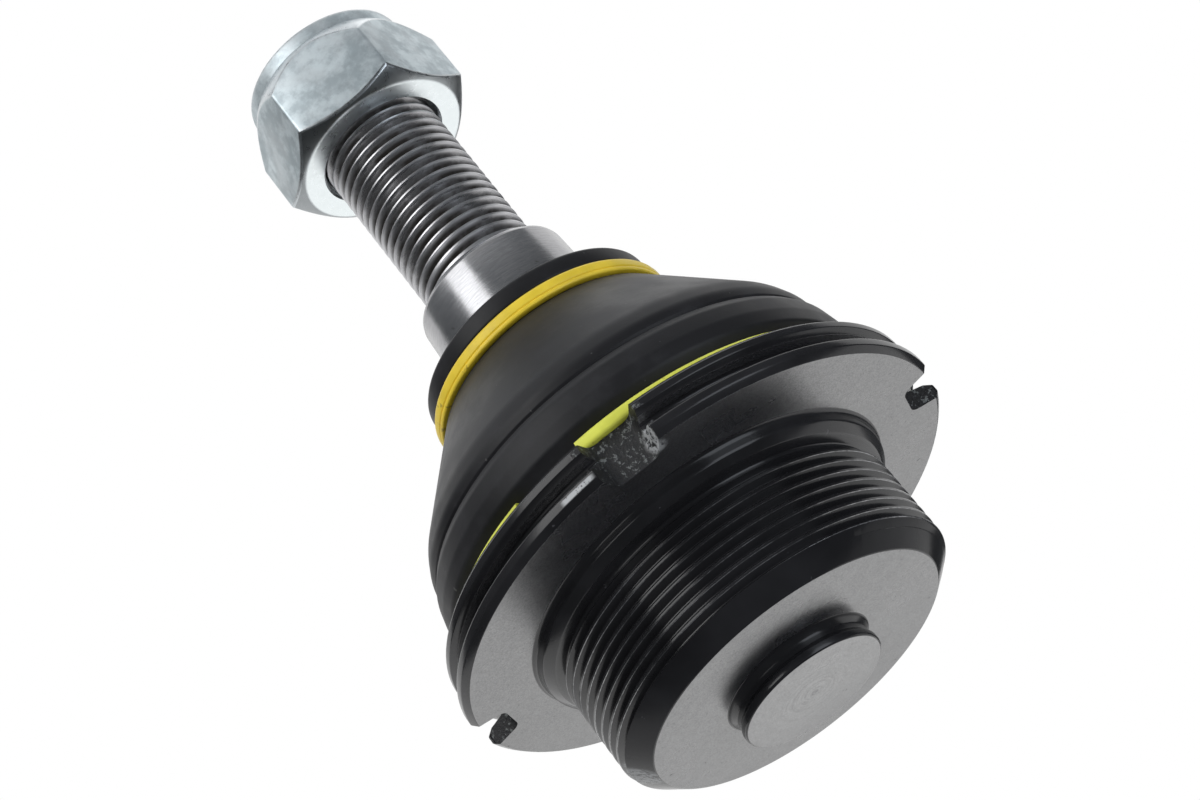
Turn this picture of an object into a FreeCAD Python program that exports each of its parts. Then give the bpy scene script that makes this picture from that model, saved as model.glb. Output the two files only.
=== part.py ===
import FreeCAD, Part
import math
import os

# Suspension ball joint that screws into a hub carrier, in millimetres.
# The origin is on the housing's axis in the plane of the flange's seating face.
# +Z points along the stud to the nut, and the threaded body and its boss reach to -Z.
# One tool slot lies on each of +X, -X, +Y and -Y, and two flats of the nut face +Y and -Y.

# Clearances
RUNNING_GAP = 0.05      # radial, between faces that turn or slide on each other
SEAT_GAP = 0.05         # radial, between pieces pressed or cast into the housing
SOFT_GAP = 0.3          # between the rubber boot and what it sits on
CUT_OVER = 1.0          # how far a cutting body reaches past what it cuts
SAME_PLACE = 0.001      # what lies closer than this is one point

# Roundings of corners
FINE_ROUND = 0.2        # crisp machined edge
EDGE_ROUND = 0.3        # broken edge
SOFT_ROUND = 0.5        # inner corner or softened edge
WIDE_ROUND = 0.8        # wide inner corner
SIDE_SHARE = 0.45       # most of a side that the rounding at one of its ends takes up

# Threaded body
THREAD_R = 22.5         # M45 x 1.5, major radius
THREAD_DEPTH = 0.92
BODY_LENGTH = 17.6      # seating face to end face
COLLAR_R = 24.0         # plain collar between the flange and the thread
COLLAR_LENGTH = 2.4
COLLAR_BEVEL = 0.9      # along the axis, on the collar's free edge
COLLAR_STEP = 0.5       # the bevel starts this far outside the thread
RELIEF_LENGTH = 1.5     # tool run-out beside the collar
RELIEF_SLOPE = 0.46     # from the last thread down to the run-out
END_CHAMFER = 3.2
BOSS_R = 9.4            # turned boss on the end face
BOSS_HEIGHT = 3.1
BOSS_RIM = 0.9          # band of full width at the boss's free end
BOSS_SLOPE = 0.6        # from that band down to the waist
BOSS_WAIST = 0.45       # how far the boss narrows below its rim
BOSS_FOOT = 0.9         # height of the boss's flared foot
BOSS_FOOT_FLARE = 0.3
FLOOR_WALL = 4.2        # end face to the floor of the cavity

# Flange, groove and upper rim
FLANGE_R = 33.5
FLANGE_THICKNESS = 2.3
SEAT_BEVEL = 0.7        # on the rim of the seating face
BACK_BEVEL_WIDTH = 1.0  # on the flange's edge towards the groove
BACK_BEVEL_HEIGHT = 0.6
GROOVE_WIDTH = 1.8
GROOVE_DRAFT = 0.3      # how much narrower the groove is at its floor, on each side
GROOVE_FLOOR_R = 30.3
RIM_R = 32.6
RIM_THICKNESS = 1.8
RIM_BEVEL_WIDTH = 0.7   # on the rim's edge towards the groove
RIM_BEVEL_HEIGHT = 0.5
RIM_BACK_BEVEL = 0.5    # on the rim's edge towards the boot

# Tool slots across the flange and the rim
SLOT_COUNT = 4
SLOT_MOUTH = 8.0
SLOT_FLOOR = 5.4
SLOT_DEPTH = 4.2
SLOT_ROUND = 0.9

# Ball and its bearing
BALL_R = 13.5
BALL_FLAT_R = 3.6       # flat on the ball's pole, over the grease pocket
BEARING_WALL = 3.0      # plastic beside the ball's middle
CUP_FLOOR = 1.8
CUP_RISE = 0.5          # the cup ends this far before the ball's middle
POCKET_R = 3.0          # hole in the cup's floor, which holds grease
CHANNEL_R = 0.6         # grease channels along the ball
CHANNEL_COUNT = 3       # each one crosses the pole and makes two grooves
SPRING_HEIGHT = 1.2
SPRING_SHEET = 0.6
SPRING_R = 12.0
SPRING_HOLE_R = 5.0
MOUTH_DEPTH = 7.0       # ball centre to the open end of the seat ring
CLOSING_THICKNESS = 1.5
CLOSING_HOLD = 1.3      # the closing ring's hole is this much smaller in radius than the ball
ROLLED_LIP = 1.6
ROLLED_LIP_STEP = 1.4   # the rolled lip leaves this much of the closing ring bare

# Boot seat on the housing
BOOT_SEAT_R = 26.4
BOOT_SEAT_LENGTH = 4.4
RIDGE_HEIGHT = 0.8      # ridge that keeps the boot's bead on its seat
RIDGE_WIDTH = 0.7
ROLLED_R = 19.5         # outer radius of the rolled end

# Ball stud
NECK_R = 6.8
NECK_FILLET = 1.0       # between the ball and the neck
NECK_LENGTH = 14.5      # ball centre to the start of the flare
FLARE_LENGTH = 11.0
FLARE_ROUND = 6.0       # where the neck runs into the flare
FLARE_END_ROUND = 1.5   # where the flare meets the taper
TAPER_SMALL_R = 10.3
TAPER_PER_MM = 0.05     # 1:10 on the diameter
TAPER_SHOWING = 10.7    # taper beyond the boot
TAPER_ROUND = 1.0
STUD_THREAD_R = 8.0     # M16 x 1.5, major radius
THREAD_SHOWING = 25.9   # small end of the taper to the nut
STUD_IN_NUT = 13.5
STUD_CHAMFER = 1.2
CENTRE_HOLE_R = 1.6     # turning centre in the stud's end

# Boot
BOOT_WALL = 1.8
BOOT_LENGTH = 30.7      # bead to lip, along the axis
BEAD_WALL = 0.8         # rubber outside the ridge, under the split ring
BEAD_SLACK = 0.1        # between the split ring and the bulge above it
BULGE_OUT = 1.1         # bulge outside the bead
BULGE_HEIGHT = 6.6
BULGE_RISE = 1.4        # from the bead out to the bulge, along the axis
BULGE_ROUND = 0.9
SHOULDER_DROP = 1.2     # the bulge starts to turn in this far below its top
SHOULDER_STEP = 0.1
SHOULDER_ROUND = 2.5
FOLD_IN = 1.1           # fold line between the bulge and the cone, inside the bulge
FOLD_RISE = 1.6         # fold line above the bulge, and the cone's start above the fold line
FOLD_STEP = 0.4
FOLD_ROUND = 1.5
INNER_FOLD_RISE = 0.6
INNER_FOLD_ROUND = 2.0
INNER_BULGE_ROUND = 1.0
BOOT_NECK_R = 16.4      # small end of the cone
LIP_R = 16.0
LIP_THICKNESS = 2.6
LIP_GROOVE_R = 15.3
LIP_GROOVE_WIDTH = 2.7

# Clamp rings of the boot
BEAD_RING_HEIGHT = 1.7
BEAD_RING_WIDTH = 2.0
BEAD_RING_OPEN = 18.0   # degrees, between the ends of the split ring
BEAD_RING_TURN = -106.0 # degrees from +X to the middle of the opening
LIP_RING_HEIGHT = 2.1
LIP_RING_WIDTH = 1.2

# Nut with a locking insert
NUT_FLATS = 24.0
NUT_HEX_HEIGHT = 12.7   # bearing face to the small end of the cone over the flats
NUT_EDGE_LENGTH = 7.0   # edge between two flats, between the chamfer and the cone
NUT_CHAMFER_ANGLE = 35.0  # degrees from the bearing face
NUT_COLLAR_HEIGHT = 2.3
NUT_COLLAR_R = 11.3
NUT_FACE_R = 11.4       # bearing face, inside the chamfer
BORE_CHAMFER = 0.7
INSERT_R = 10.2
INSERT_HEIGHT = 3.4
INSERT_COVER = 0.8      # rolled edge over the insert
INSERT_WINDOW_R = 9.3
COLLAR_ROUND = 1.5      # rolled shoulder of the collar

# Radii that follow the ball
CAVITY_R = BALL_R + BEARING_WALL
CLOSING_HOLE_R = BALL_R - CLOSING_HOLD
ROLLED_LIP_HOLE_R = CLOSING_HOLE_R + ROLLED_LIP_STEP

# Radii that follow one another from the boot's seat outwards
RIDGE_R = BOOT_SEAT_R + RIDGE_HEIGHT
BEAD_R = RIDGE_R + SOFT_GAP + BEAD_WALL
BULGE_R = BEAD_R + BULGE_OUT
FOLD_R = BULGE_R - FOLD_IN

# Heights along the axis, from the seating face
CAVITY_FLOOR_Z = FLOOR_WALL - BODY_LENGTH
CUP_Z = CAVITY_FLOOR_Z + SPRING_HEIGHT
BALL_Z = CUP_Z + CUP_FLOOR + RUNNING_GAP + BALL_R
MOUTH_Z = BALL_Z + MOUTH_DEPTH
CLOSING_Z = MOUTH_Z + CLOSING_THICKNESS
HOUSING_END_Z = CLOSING_Z + ROLLED_LIP
RIM_BACK_Z = FLANGE_THICKNESS + GROOVE_WIDTH + RIM_THICKNESS
BOOT_BASE_Z = RIM_BACK_Z + SOFT_GAP
BOOT_END_Z = BOOT_BASE_Z + BOOT_LENGTH
TAPER_END_Z = BOOT_END_Z + TAPER_SHOWING
NUT_FACE_Z = TAPER_END_Z + THREAD_SHOWING
NUT_COLLAR_Z = NUT_FACE_Z + NUT_HEX_HEIGHT
NUT_END_Z = NUT_COLLAR_Z + NUT_COLLAR_HEIGHT
STUD_END_Z = NUT_FACE_Z + STUD_IN_NUT

AXIS = FreeCAD.Vector(0, 0, 1)
BALL_CENTRE = FreeCAD.Vector(0, 0, BALL_Z)


def corner_arc(before, at, after, size):
    """Start, middle and end of the arc that rounds one corner, no longer than its sides allow."""
    to_before = before - at
    to_after = after - at
    shorter = min(to_before.Length, to_after.Length)
    to_before.normalize()
    to_after.normalize()
    half = to_before.getAngle(to_after) / 2
    size = min(size, SIDE_SHARE * shorter * math.tan(half))
    reach = size / math.tan(half)
    centre = at + (to_before + to_after).normalize() * (size / math.sin(half))
    middle = centre + (at - centre).normalize() * size
    return at + to_before * reach, middle, at + to_after * reach


def rounded_wire(corners):
    """Closed wire through (point, rounding) corners, with tangent arcs where the rounding isn't 0."""
    stops = []
    for index, (at, size) in enumerate(corners):
        if size > 0:
            before = corners[index - 1][0]
            after = corners[(index + 1) % len(corners)][0]
            stops.append(corner_arc(before, at, after, size))
        else:
            stops.append((at, None, at))
    edges = []
    for index, (start, middle, end) in enumerate(stops):
        if middle is not None:
            edges.append(Part.Arc(start, middle, end).toShape())
        following = stops[(index + 1) % len(stops)][0]
        if end.distanceToPoint(following) > SAME_PLACE:
            edges.append(Part.LineSegment(end, following).toShape())
    return Part.Wire(edges)


def turned(corners, angle=360):
    """Body of revolution from (radius, height, rounding) corners."""
    points = [(FreeCAD.Vector(radius, 0, height), size) for radius, height, size in corners]
    return Part.Face(rounded_wire(points)).revolve(FreeCAD.Vector(), AXIS, angle)


def ball(radius):
    """Sphere on the ball's centre."""
    return Part.makeSphere(radius, BALL_CENTRE)


def grease_channels():
    """Thin tori that cross the ball's pole, each cutting a channel along two meridians."""
    tori = []
    for step in range(CHANNEL_COUNT):
        turn = math.pi * step / CHANNEL_COUNT
        direction = FreeCAD.Vector(math.cos(turn), math.sin(turn), 0)
        tori.append(Part.makeTorus(BALL_R + RUNNING_GAP, CHANNEL_R, BALL_CENTRE, direction))
    return tori


def tool_slot(turn):
    """One tapered slot with rounded inner corners, across the flange, the groove and the rim."""
    floor_r = FLANGE_R - SLOT_DEPTH
    outer_r = FLANGE_R + CUT_OVER
    flare = (SLOT_MOUTH - SLOT_FLOOR) / 2 / SLOT_DEPTH
    outer_half = SLOT_FLOOR / 2 + flare * (outer_r - floor_r)
    high = RIM_BACK_Z + CUT_OVER
    corners = [
        (FreeCAD.Vector(floor_r, -SLOT_FLOOR / 2, high), SLOT_ROUND),
        (FreeCAD.Vector(outer_r, -outer_half, high), 0),
        (FreeCAD.Vector(outer_r, outer_half, high), 0),
        (FreeCAD.Vector(floor_r, SLOT_FLOOR / 2, high), SLOT_ROUND),
    ]
    slot = Part.Face(rounded_wire(corners)).extrude(AXIS * (-CUT_OVER - high))
    slot.rotate(FreeCAD.Vector(), AXIS, turn)
    return slot


def housing():
    """Forged and turned housing: boss, threaded body, flange, groove, rim, boot seat and rolled lip."""
    relief_r = THREAD_R - THREAD_DEPTH
    relief_z = -COLLAR_LENGTH - RELIEF_LENGTH
    chamfer_z = END_CHAMFER - BODY_LENGTH
    boss_z = -BODY_LENGTH - BOSS_HEIGHT
    waist_r = BOSS_R - BOSS_WAIST
    foot_z = -BODY_LENGTH - BOSS_FOOT
    groove_low = FLANGE_THICKNESS
    groove_high = groove_low + GROOVE_WIDTH
    seat_end = RIM_BACK_Z + BOOT_SEAT_LENGTH
    ridge_end = seat_end + RIDGE_WIDTH
    outside = [
        (0, boss_z, 0),
        (BOSS_R, boss_z, EDGE_ROUND),
        (BOSS_R, boss_z + BOSS_RIM, EDGE_ROUND),
        (waist_r, boss_z + BOSS_RIM + BOSS_SLOPE, SOFT_ROUND),
        (waist_r, foot_z, SOFT_ROUND),
        (BOSS_R + BOSS_FOOT_FLARE, -BODY_LENGTH, SOFT_ROUND),
        (THREAD_R - END_CHAMFER, -BODY_LENGTH, SOFT_ROUND),
        (THREAD_R, chamfer_z, SOFT_ROUND),
        (THREAD_R, relief_z, 0),
        (relief_r, relief_z + RELIEF_SLOPE, EDGE_ROUND),
        (relief_r, -COLLAR_LENGTH - RELIEF_SLOPE, EDGE_ROUND),
        (THREAD_R + COLLAR_STEP, -COLLAR_LENGTH, EDGE_ROUND),
        (COLLAR_R, COLLAR_BEVEL - COLLAR_LENGTH, SOFT_ROUND),
        (COLLAR_R, 0, WIDE_ROUND),
        (FLANGE_R - SEAT_BEVEL, 0, FINE_ROUND),
        (FLANGE_R, SEAT_BEVEL, EDGE_ROUND),
        (FLANGE_R, groove_low - BACK_BEVEL_HEIGHT, EDGE_ROUND),
        (FLANGE_R - BACK_BEVEL_WIDTH, groove_low, EDGE_ROUND),
        (GROOVE_FLOOR_R, groove_low + GROOVE_DRAFT, SOFT_ROUND),
        (GROOVE_FLOOR_R, groove_high - GROOVE_DRAFT, SOFT_ROUND),
        (RIM_R - RIM_BEVEL_WIDTH, groove_high, FINE_ROUND),
        (RIM_R, groove_high + RIM_BEVEL_HEIGHT, FINE_ROUND),
        (RIM_R, RIM_BACK_Z - RIM_BACK_BEVEL, FINE_ROUND),
        (RIM_R - RIM_BACK_BEVEL, RIM_BACK_Z, FINE_ROUND),
        (BOOT_SEAT_R, RIM_BACK_Z, FINE_ROUND),
        (BOOT_SEAT_R, seat_end, FINE_ROUND),
        (RIDGE_R, seat_end, FINE_ROUND),
        (RIDGE_R, ridge_end, EDGE_ROUND),
        (ROLLED_R, HOUSING_END_Z, WIDE_ROUND),
    ]
    inside = [
        (ROLLED_LIP_HOLE_R, HOUSING_END_Z, SOFT_ROUND),
        (ROLLED_LIP_HOLE_R, CLOSING_Z, 0),
        (CAVITY_R, CLOSING_Z, 0),
        (CAVITY_R, CAVITY_FLOOR_Z, 0),
        (0, CAVITY_FLOOR_Z, 0),
    ]
    slots = [tool_slot(360 * step / SLOT_COUNT) for step in range(SLOT_COUNT)]
    return turned(outside + inside).cut(slots)


def preload_spring():
    """Disc spring between the floor of the cavity and the cup."""
    return turned([
        (SPRING_HOLE_R, CUP_Z, 0),
        (SPRING_R, CAVITY_FLOOR_Z + SPRING_SHEET, 0),
        (SPRING_R, CAVITY_FLOOR_Z, 0),
        (SPRING_HOLE_R, CUP_Z - SPRING_SHEET, 0),
    ])


def seat_in(blank):
    """The blank with the ball's seat and the grease channels cut into it, one after the other."""
    seat = blank.cut(ball(BALL_R + RUNNING_GAP))
    for channel in grease_channels():
        seat = seat.cut(channel)
    return seat


def bearing_cup():
    """Plastic cup behind the ball, with a grease pocket at its pole and channels along the ball."""
    outer_r = CAVITY_R - SEAT_GAP
    split_z = BALL_Z - CUP_RISE
    return seat_in(turned([
        (POCKET_R, CUP_Z, 0),
        (outer_r, CUP_Z, WIDE_ROUND),
        (outer_r, split_z, 0),
        (POCKET_R, split_z, 0),
    ]))


def bearing_ring():
    """Plastic seat ring on the stud's side of the ball."""
    outer_r = CAVITY_R - SEAT_GAP
    split_z = BALL_Z + CUP_RISE
    return seat_in(turned([
        (NECK_R, split_z, 0),
        (outer_r, split_z, 0),
        (outer_r, MOUTH_Z, 0),
        (NECK_R, MOUTH_Z, 0),
    ]))


def closing_ring():
    """Steel ring that holds the seat ring in, under the housing's rolled lip."""
    outer_r = CAVITY_R - SEAT_GAP
    return turned([
        (CLOSING_HOLE_R, CLOSING_Z, EDGE_ROUND),
        (outer_r, CLOSING_Z, 0),
        (outer_r, MOUTH_Z, 0),
        (CLOSING_HOLE_R, MOUTH_Z, EDGE_ROUND),
    ])


def taper_radius(height):
    """Radius of the stud's taper at a height."""
    return TAPER_SMALL_R + TAPER_PER_MM * (TAPER_END_Z - height)


def ball_stud():
    """Ball, neck, flare, taper and threaded end in one piece, with a turning centre in its end."""
    neck_end = BALL_Z + NECK_LENGTH
    flare_end = neck_end + FLARE_LENGTH
    shank = turned([
        (0, BALL_Z, 0),
        (NECK_R, BALL_Z, 0),
        (NECK_R, neck_end, FLARE_ROUND),
        (taper_radius(flare_end), flare_end, FLARE_END_ROUND),
        (TAPER_SMALL_R, TAPER_END_Z, TAPER_ROUND),
        (STUD_THREAD_R, TAPER_END_Z, 0),
        (STUD_THREAD_R, STUD_END_Z - STUD_CHAMFER, 0),
        (STUD_THREAD_R - STUD_CHAMFER, STUD_END_Z, 0),
        (CENTRE_HOLE_R, STUD_END_Z, 0),
        (0, STUD_END_Z - CENTRE_HOLE_R * math.sqrt(3), 0),
    ])
    pole = math.sqrt(BALL_R ** 2 - BALL_FLAT_R ** 2)
    above_pole = Part.makeCylinder(BALL_R, BALL_R, BALL_CENTRE - AXIS * pole, -AXIS)
    stud = ball(BALL_R).cut(above_pole).fuse(shank)
    junction_z = BALL_Z + math.sqrt(BALL_R ** 2 - NECK_R ** 2)
    junction = []
    for edge in stud.Edges:
        box = edge.BoundBox
        if max(abs(box.ZMin - junction_z), abs(box.ZMax - junction_z)) < SAME_PLACE:
            junction.append(edge)
    return stud.makeFillet(NECK_FILLET, junction)


def boot():
    """Rubber boot: bead on the housing, bulge, fold line, cone, ring groove and lip on the stud."""
    bead_in = BOOT_SEAT_R + SOFT_GAP
    bead_end = BOOT_BASE_Z + BEAD_RING_HEIGHT
    seat_end = RIM_BACK_Z + BOOT_SEAT_LENGTH - SOFT_GAP
    ridge_end = seat_end + RIDGE_WIDTH + 2 * SOFT_GAP
    over_ridge = RIDGE_R + SOFT_GAP
    bulge_z = BOOT_BASE_Z + BULGE_HEIGHT
    shoulder_z = bulge_z - SHOULDER_DROP
    fold_z = bulge_z + FOLD_RISE
    cone_r = FOLD_R - FOLD_STEP
    groove_z = BOOT_END_Z - LIP_THICKNESS
    cone_z = groove_z - LIP_GROOVE_WIDTH
    lip_in = taper_radius(cone_z) + SOFT_GAP
    inner_cone_z = cone_z - BOOT_WALL
    return turned([
        (bead_in, BOOT_BASE_Z, FINE_ROUND),
        (BEAD_R, BOOT_BASE_Z, FINE_ROUND),
        (BEAD_R, bead_end + BEAD_SLACK, EDGE_ROUND),
        (BULGE_R, bead_end + BULGE_RISE, BULGE_ROUND),
        (BULGE_R - SHOULDER_STEP, shoulder_z, SHOULDER_ROUND),
        (FOLD_R, fold_z, EDGE_ROUND),
        (cone_r, fold_z + FOLD_RISE, FOLD_ROUND),
        (BOOT_NECK_R, cone_z, SOFT_ROUND),
        (LIP_GROOVE_R, cone_z, FINE_ROUND),
        (LIP_GROOVE_R, groove_z, FINE_ROUND),
        (LIP_R, groove_z, EDGE_ROUND),
        (LIP_R, BOOT_END_Z, SOFT_ROUND),
        (lip_in, BOOT_END_Z, SOFT_ROUND),
        (lip_in, inner_cone_z, SOFT_ROUND),
        (BOOT_NECK_R - BOOT_WALL, inner_cone_z, WIDE_ROUND),
        (cone_r - BOOT_WALL, fold_z + INNER_FOLD_RISE, INNER_FOLD_ROUND),
        (over_ridge, shoulder_z, INNER_BULGE_ROUND),
        (over_ridge, ridge_end, 0),
        (over_ridge, seat_end, FINE_ROUND),
        (bead_in, seat_end, FINE_ROUND),
    ])


def boot_clamp_housing():
    """Split spring ring round the boot's bead, lying on the back of the rim."""
    inner_r = BEAD_R + SOFT_GAP
    outer_r = inner_r + BEAD_RING_WIDTH
    high = RIM_BACK_Z + BEAD_RING_HEIGHT
    ring = turned([
        (inner_r, high, FINE_ROUND),
        (outer_r, high, SOFT_ROUND),
        (outer_r, RIM_BACK_Z, EDGE_ROUND),
        (inner_r, RIM_BACK_Z, FINE_ROUND),
    ], 360 - BEAD_RING_OPEN)
    ring.rotate(FreeCAD.Vector(), AXIS, BEAD_RING_TURN + BEAD_RING_OPEN / 2)
    return ring


def boot_clamp_stud():
    """Spring ring in the groove behind the boot's lip."""
    inner_r = LIP_GROOVE_R + SOFT_GAP
    outer_r = inner_r + LIP_RING_WIDTH
    middle = BOOT_END_Z - LIP_THICKNESS - LIP_GROOVE_WIDTH / 2
    low = middle - LIP_RING_HEIGHT / 2
    high = middle + LIP_RING_HEIGHT / 2
    return turned([
        (inner_r, low, FINE_ROUND),
        (outer_r, low, EDGE_ROUND),
        (outer_r, high, SOFT_ROUND),
        (inner_r, high, FINE_ROUND),
    ])


def nut_body():
    """Hexagon nut, chamfered below, with a cone over its flats up to a collar rolled over the insert."""
    corner_r = NUT_FLATS / math.sqrt(3)
    bore_r = STUD_THREAD_R + RUNNING_GAP
    pocket_r = INSERT_R + SEAT_GAP
    pocket_high = NUT_END_Z - INSERT_COVER
    pocket_low = pocket_high - INSERT_HEIGHT
    points = []
    for step in range(7):
        turn = math.radians(60 * step)
        points.append(FreeCAD.Vector(corner_r * math.cos(turn), corner_r * math.sin(turn), NUT_FACE_Z))
    prism = Part.Face(Part.makePolygon(points)).extrude(AXIS * NUT_HEX_HEIGHT)
    edge_low = NUT_FACE_Z + (corner_r - NUT_FACE_R) * math.tan(math.radians(NUT_CHAMFER_ANGLE))
    envelope = turned([
        (0, NUT_FACE_Z, 0),
        (NUT_FACE_R, NUT_FACE_Z, 0),
        (corner_r, edge_low, 0),
        (corner_r, edge_low + NUT_EDGE_LENGTH, 0),
        (NUT_COLLAR_R, NUT_COLLAR_Z, 0),
        (0, NUT_COLLAR_Z, 0),
    ])
    collar = turned([
        (0, NUT_COLLAR_Z, 0),
        (NUT_COLLAR_R, NUT_COLLAR_Z, 0),
        (NUT_COLLAR_R, NUT_END_Z, COLLAR_ROUND),
        (0, NUT_END_Z, 0),
    ])
    hollow = turned([
        (0, NUT_FACE_Z, 0),
        (bore_r + BORE_CHAMFER, NUT_FACE_Z, 0),
        (bore_r, NUT_FACE_Z + BORE_CHAMFER, 0),
        (bore_r, pocket_low, 0),
        (pocket_r, pocket_low, 0),
        (pocket_r, pocket_high, 0),
        (INSERT_WINDOW_R, pocket_high, 0),
        (INSERT_WINDOW_R, NUT_END_Z, 0),
        (0, NUT_END_Z, 0),
    ])
    return prism.common(envelope).fuse(collar).cut(hollow).removeSplitter()


def nut_insert():
    """Locking ring in the nut's collar."""
    high = NUT_END_Z - INSERT_COVER
    low = high - INSERT_HEIGHT
    bore_r = STUD_THREAD_R + RUNNING_GAP
    return turned([
        (bore_r, low, 0),
        (INSERT_R, low, 0),
        (INSERT_R, high, 0),
        (bore_r, high, EDGE_ROUND),
    ])


os.makedirs("parts", exist_ok=True)
for make in (
    housing,
    preload_spring,
    bearing_cup,
    bearing_ring,
    closing_ring,
    ball_stud,
    boot,
    boot_clamp_housing,
    boot_clamp_stud,
    nut_body,
    nut_insert,
):
    make().exportStep("parts/" + make.__name__ + ".step")
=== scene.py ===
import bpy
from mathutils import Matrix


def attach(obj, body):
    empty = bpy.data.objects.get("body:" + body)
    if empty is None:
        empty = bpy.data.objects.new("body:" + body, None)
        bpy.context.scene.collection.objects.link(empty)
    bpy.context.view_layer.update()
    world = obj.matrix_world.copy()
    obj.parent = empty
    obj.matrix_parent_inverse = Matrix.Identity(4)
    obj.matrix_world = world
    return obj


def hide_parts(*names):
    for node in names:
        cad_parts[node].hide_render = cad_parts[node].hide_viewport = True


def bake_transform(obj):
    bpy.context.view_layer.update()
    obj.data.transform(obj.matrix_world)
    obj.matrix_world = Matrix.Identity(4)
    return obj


bl_info = {
    "name": "Suspension Ball Joint",
    "version": (1, 0, 0),
    "blender": (4, 5, 0),
    "location": "3D View > Sidebar > Ball Joint",
    "description": "Threads, rubber boot, clamp rings, nut and finishes of a suspension ball joint",
    "category": "Object",
}

from math import asin, atan2, cos, pi, radians, sin, sqrt, tan
from types import SimpleNamespace

import bpy
from mathutils import Matrix, Vector

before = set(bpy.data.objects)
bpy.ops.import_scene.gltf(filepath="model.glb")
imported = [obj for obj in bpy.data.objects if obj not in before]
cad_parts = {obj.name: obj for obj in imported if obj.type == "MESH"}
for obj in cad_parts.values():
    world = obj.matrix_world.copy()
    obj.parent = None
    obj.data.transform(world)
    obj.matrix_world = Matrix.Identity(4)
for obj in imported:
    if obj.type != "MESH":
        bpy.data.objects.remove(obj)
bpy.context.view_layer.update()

MM = 0.001
ORIGIN = (0.0, 0.0, 0.0)

# Roundings of corners, in millimetres like all the small forms below
CREASE = 0.1
FINE = 0.2
EDGE = 0.3
SOFT = 0.5
WIDE = 0.8
FULL = 1.5
SWEEP = 6.0

CUT_OVER = 1.0  # how far a cutting body reaches past what it cuts

# Housing
BOSS_BAND = 0.9  # full width at the free end, then a slope to the waist
BOSS_SLOPE = 0.6
BOSS_WAIST = 0.45
BOSS_FOOT = 0.9
BOSS_FLARE = 0.3
LAST_CREST = 0.15
RELIEF_LENGTH = 1.5  # run-out of the thread beside the collar
RELIEF_SLOPE = 0.46
COLLAR_LENGTH = 2.4
COLLAR_BEVEL = 0.9
COLLAR_STEP = 0.5
SEAT_BEVEL = 0.7
FLANGE_THICKNESS = 2.3
BACK_BEVEL_WIDTH = 1.0
BACK_BEVEL_HEIGHT = 0.6
GROOVE_WIDTH = 1.8  # groove between the flange and the upper rim
GROOVE_DRAFT = 0.3
RIM_THICKNESS = 1.8
RIM_BEVEL_WIDTH = 0.7
RIM_BEVEL_HEIGHT = 0.5
BOOT_SEAT_RADIUS = 26.4
BOOT_SEAT_LENGTH = 4.4
RIDGE_RADIUS = 27.2  # keeps the boot's bead on its seat
RIDGE_WIDTH = 0.7
ROLLED_RADIUS = 19.5  # rolled end over the closing ring
ROLLED_HEIGHT = 13.25
MOUTH_RADIUS = 13.6
CLOSING_HEIGHT = 11.65
CAVITY_RADIUS = 16.5
FLOOR_WALL = 4.2
FIRST_GROOVE = 0.25
BODY_TURNS = 9
SLOT_COUNT = 4
SLOT_ROUND = 0.9
SLOT_TOP = 7.0

# Ball stud
BALL_FLAT = 3.6
BALL_STEPS = 32
NECK_OUT = 0.35  # hollow between the ball and the neck
NECK_UP = 0.75
NECK_END = 14.5  # flare between the neck and the taper, from the ball's middle
FLARE_END = 25.5
TAPER_SLOPE = 0.05  # 1:10 on the diameter
TAPER_ROUND = 1.0
SHOULDER_RISE = 0.02
STUD_CHAMFER = 1.2
CENTRE_HOLE = 1.6
STUD_FIRST_GROOVE = 0.95
STUD_TURNS = 27
FADE_TURNS = 0.75  # over which the thread runs out at the taper
FADE = 1.1

# Boot: rises are from the bead's lower face, steps from the bulge inwards
BEAD_INSIDE = 26.7
BEAD_RADIUS = 28.3
BEAD_RISE = 1.8
BEAD_TOP = 10.0
BULGE_RISE = 3.1
BULGE_ROUND = 0.9
BULGE_TOP_RISE = 5.0
BULGE_TOP_ROUND = 2.5
SHOULDER_TOP_RISE = 7.3
SHOULDER_STEP = 0.5
FOLD_EDGE_RISE = 8.35
FOLD_EDGE_STEP = 1.2
FOLD_RISE = 8.5
FOLD_STEP = 1.6
FOOT_RISE = 8.85  # foot of the cone
FOOT_TOP_RISE = 10.0
FOOT_STEP = 1.35
FOOT_ROUND = 3.0
CONE_RADIUS = 27.1
CONE_HEIGHT = 18.3
CONE_TOP_RADIUS = 16.4
RUBBER = 1.8
LIP_GROOVE_RADIUS = 15.3
LIP_GROOVE_WIDTH = 2.7
LIP_THICKNESS = 2.6
LIP_INSIDE = 11.4
LIP_ROUND = 0.6
INNER_CONE_RADIUS = 26.1
INNER_CONE_HEIGHT = 15.0
INNER_CONE_ROUND = 2.0
ROOM_RADIUS = 27.5  # room for the housing's ridge
ROOM_TOP = 11.6
ROOM_MIDDLE = 11.3
ROOM_ROUND = 1.0

# Clamp rings, the split one and the coiled one, with angles in degrees
SPLIT_INSIDE = 28.62
SPLIT_OUTSIDE = 30.35
SPLIT_LOW = 5.92
SPLIT_HIGH = 7.45
SPLIT_OPENING = 18.0
SPLIT_START = -115.0
COIL_INSIDE = 15.62
COIL_OUTSIDE = 16.78
COIL_LOW = 31.92
COIL_HIGH = 33.98
WIRE_ROUND = 0.4
WIRE_HEIGHT = 0.6  # first turn of the upper ring
WIRE_GAP = 0.1  # half of the gap between its turns
WIRE_GAP_DEPTH = 0.23

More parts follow.
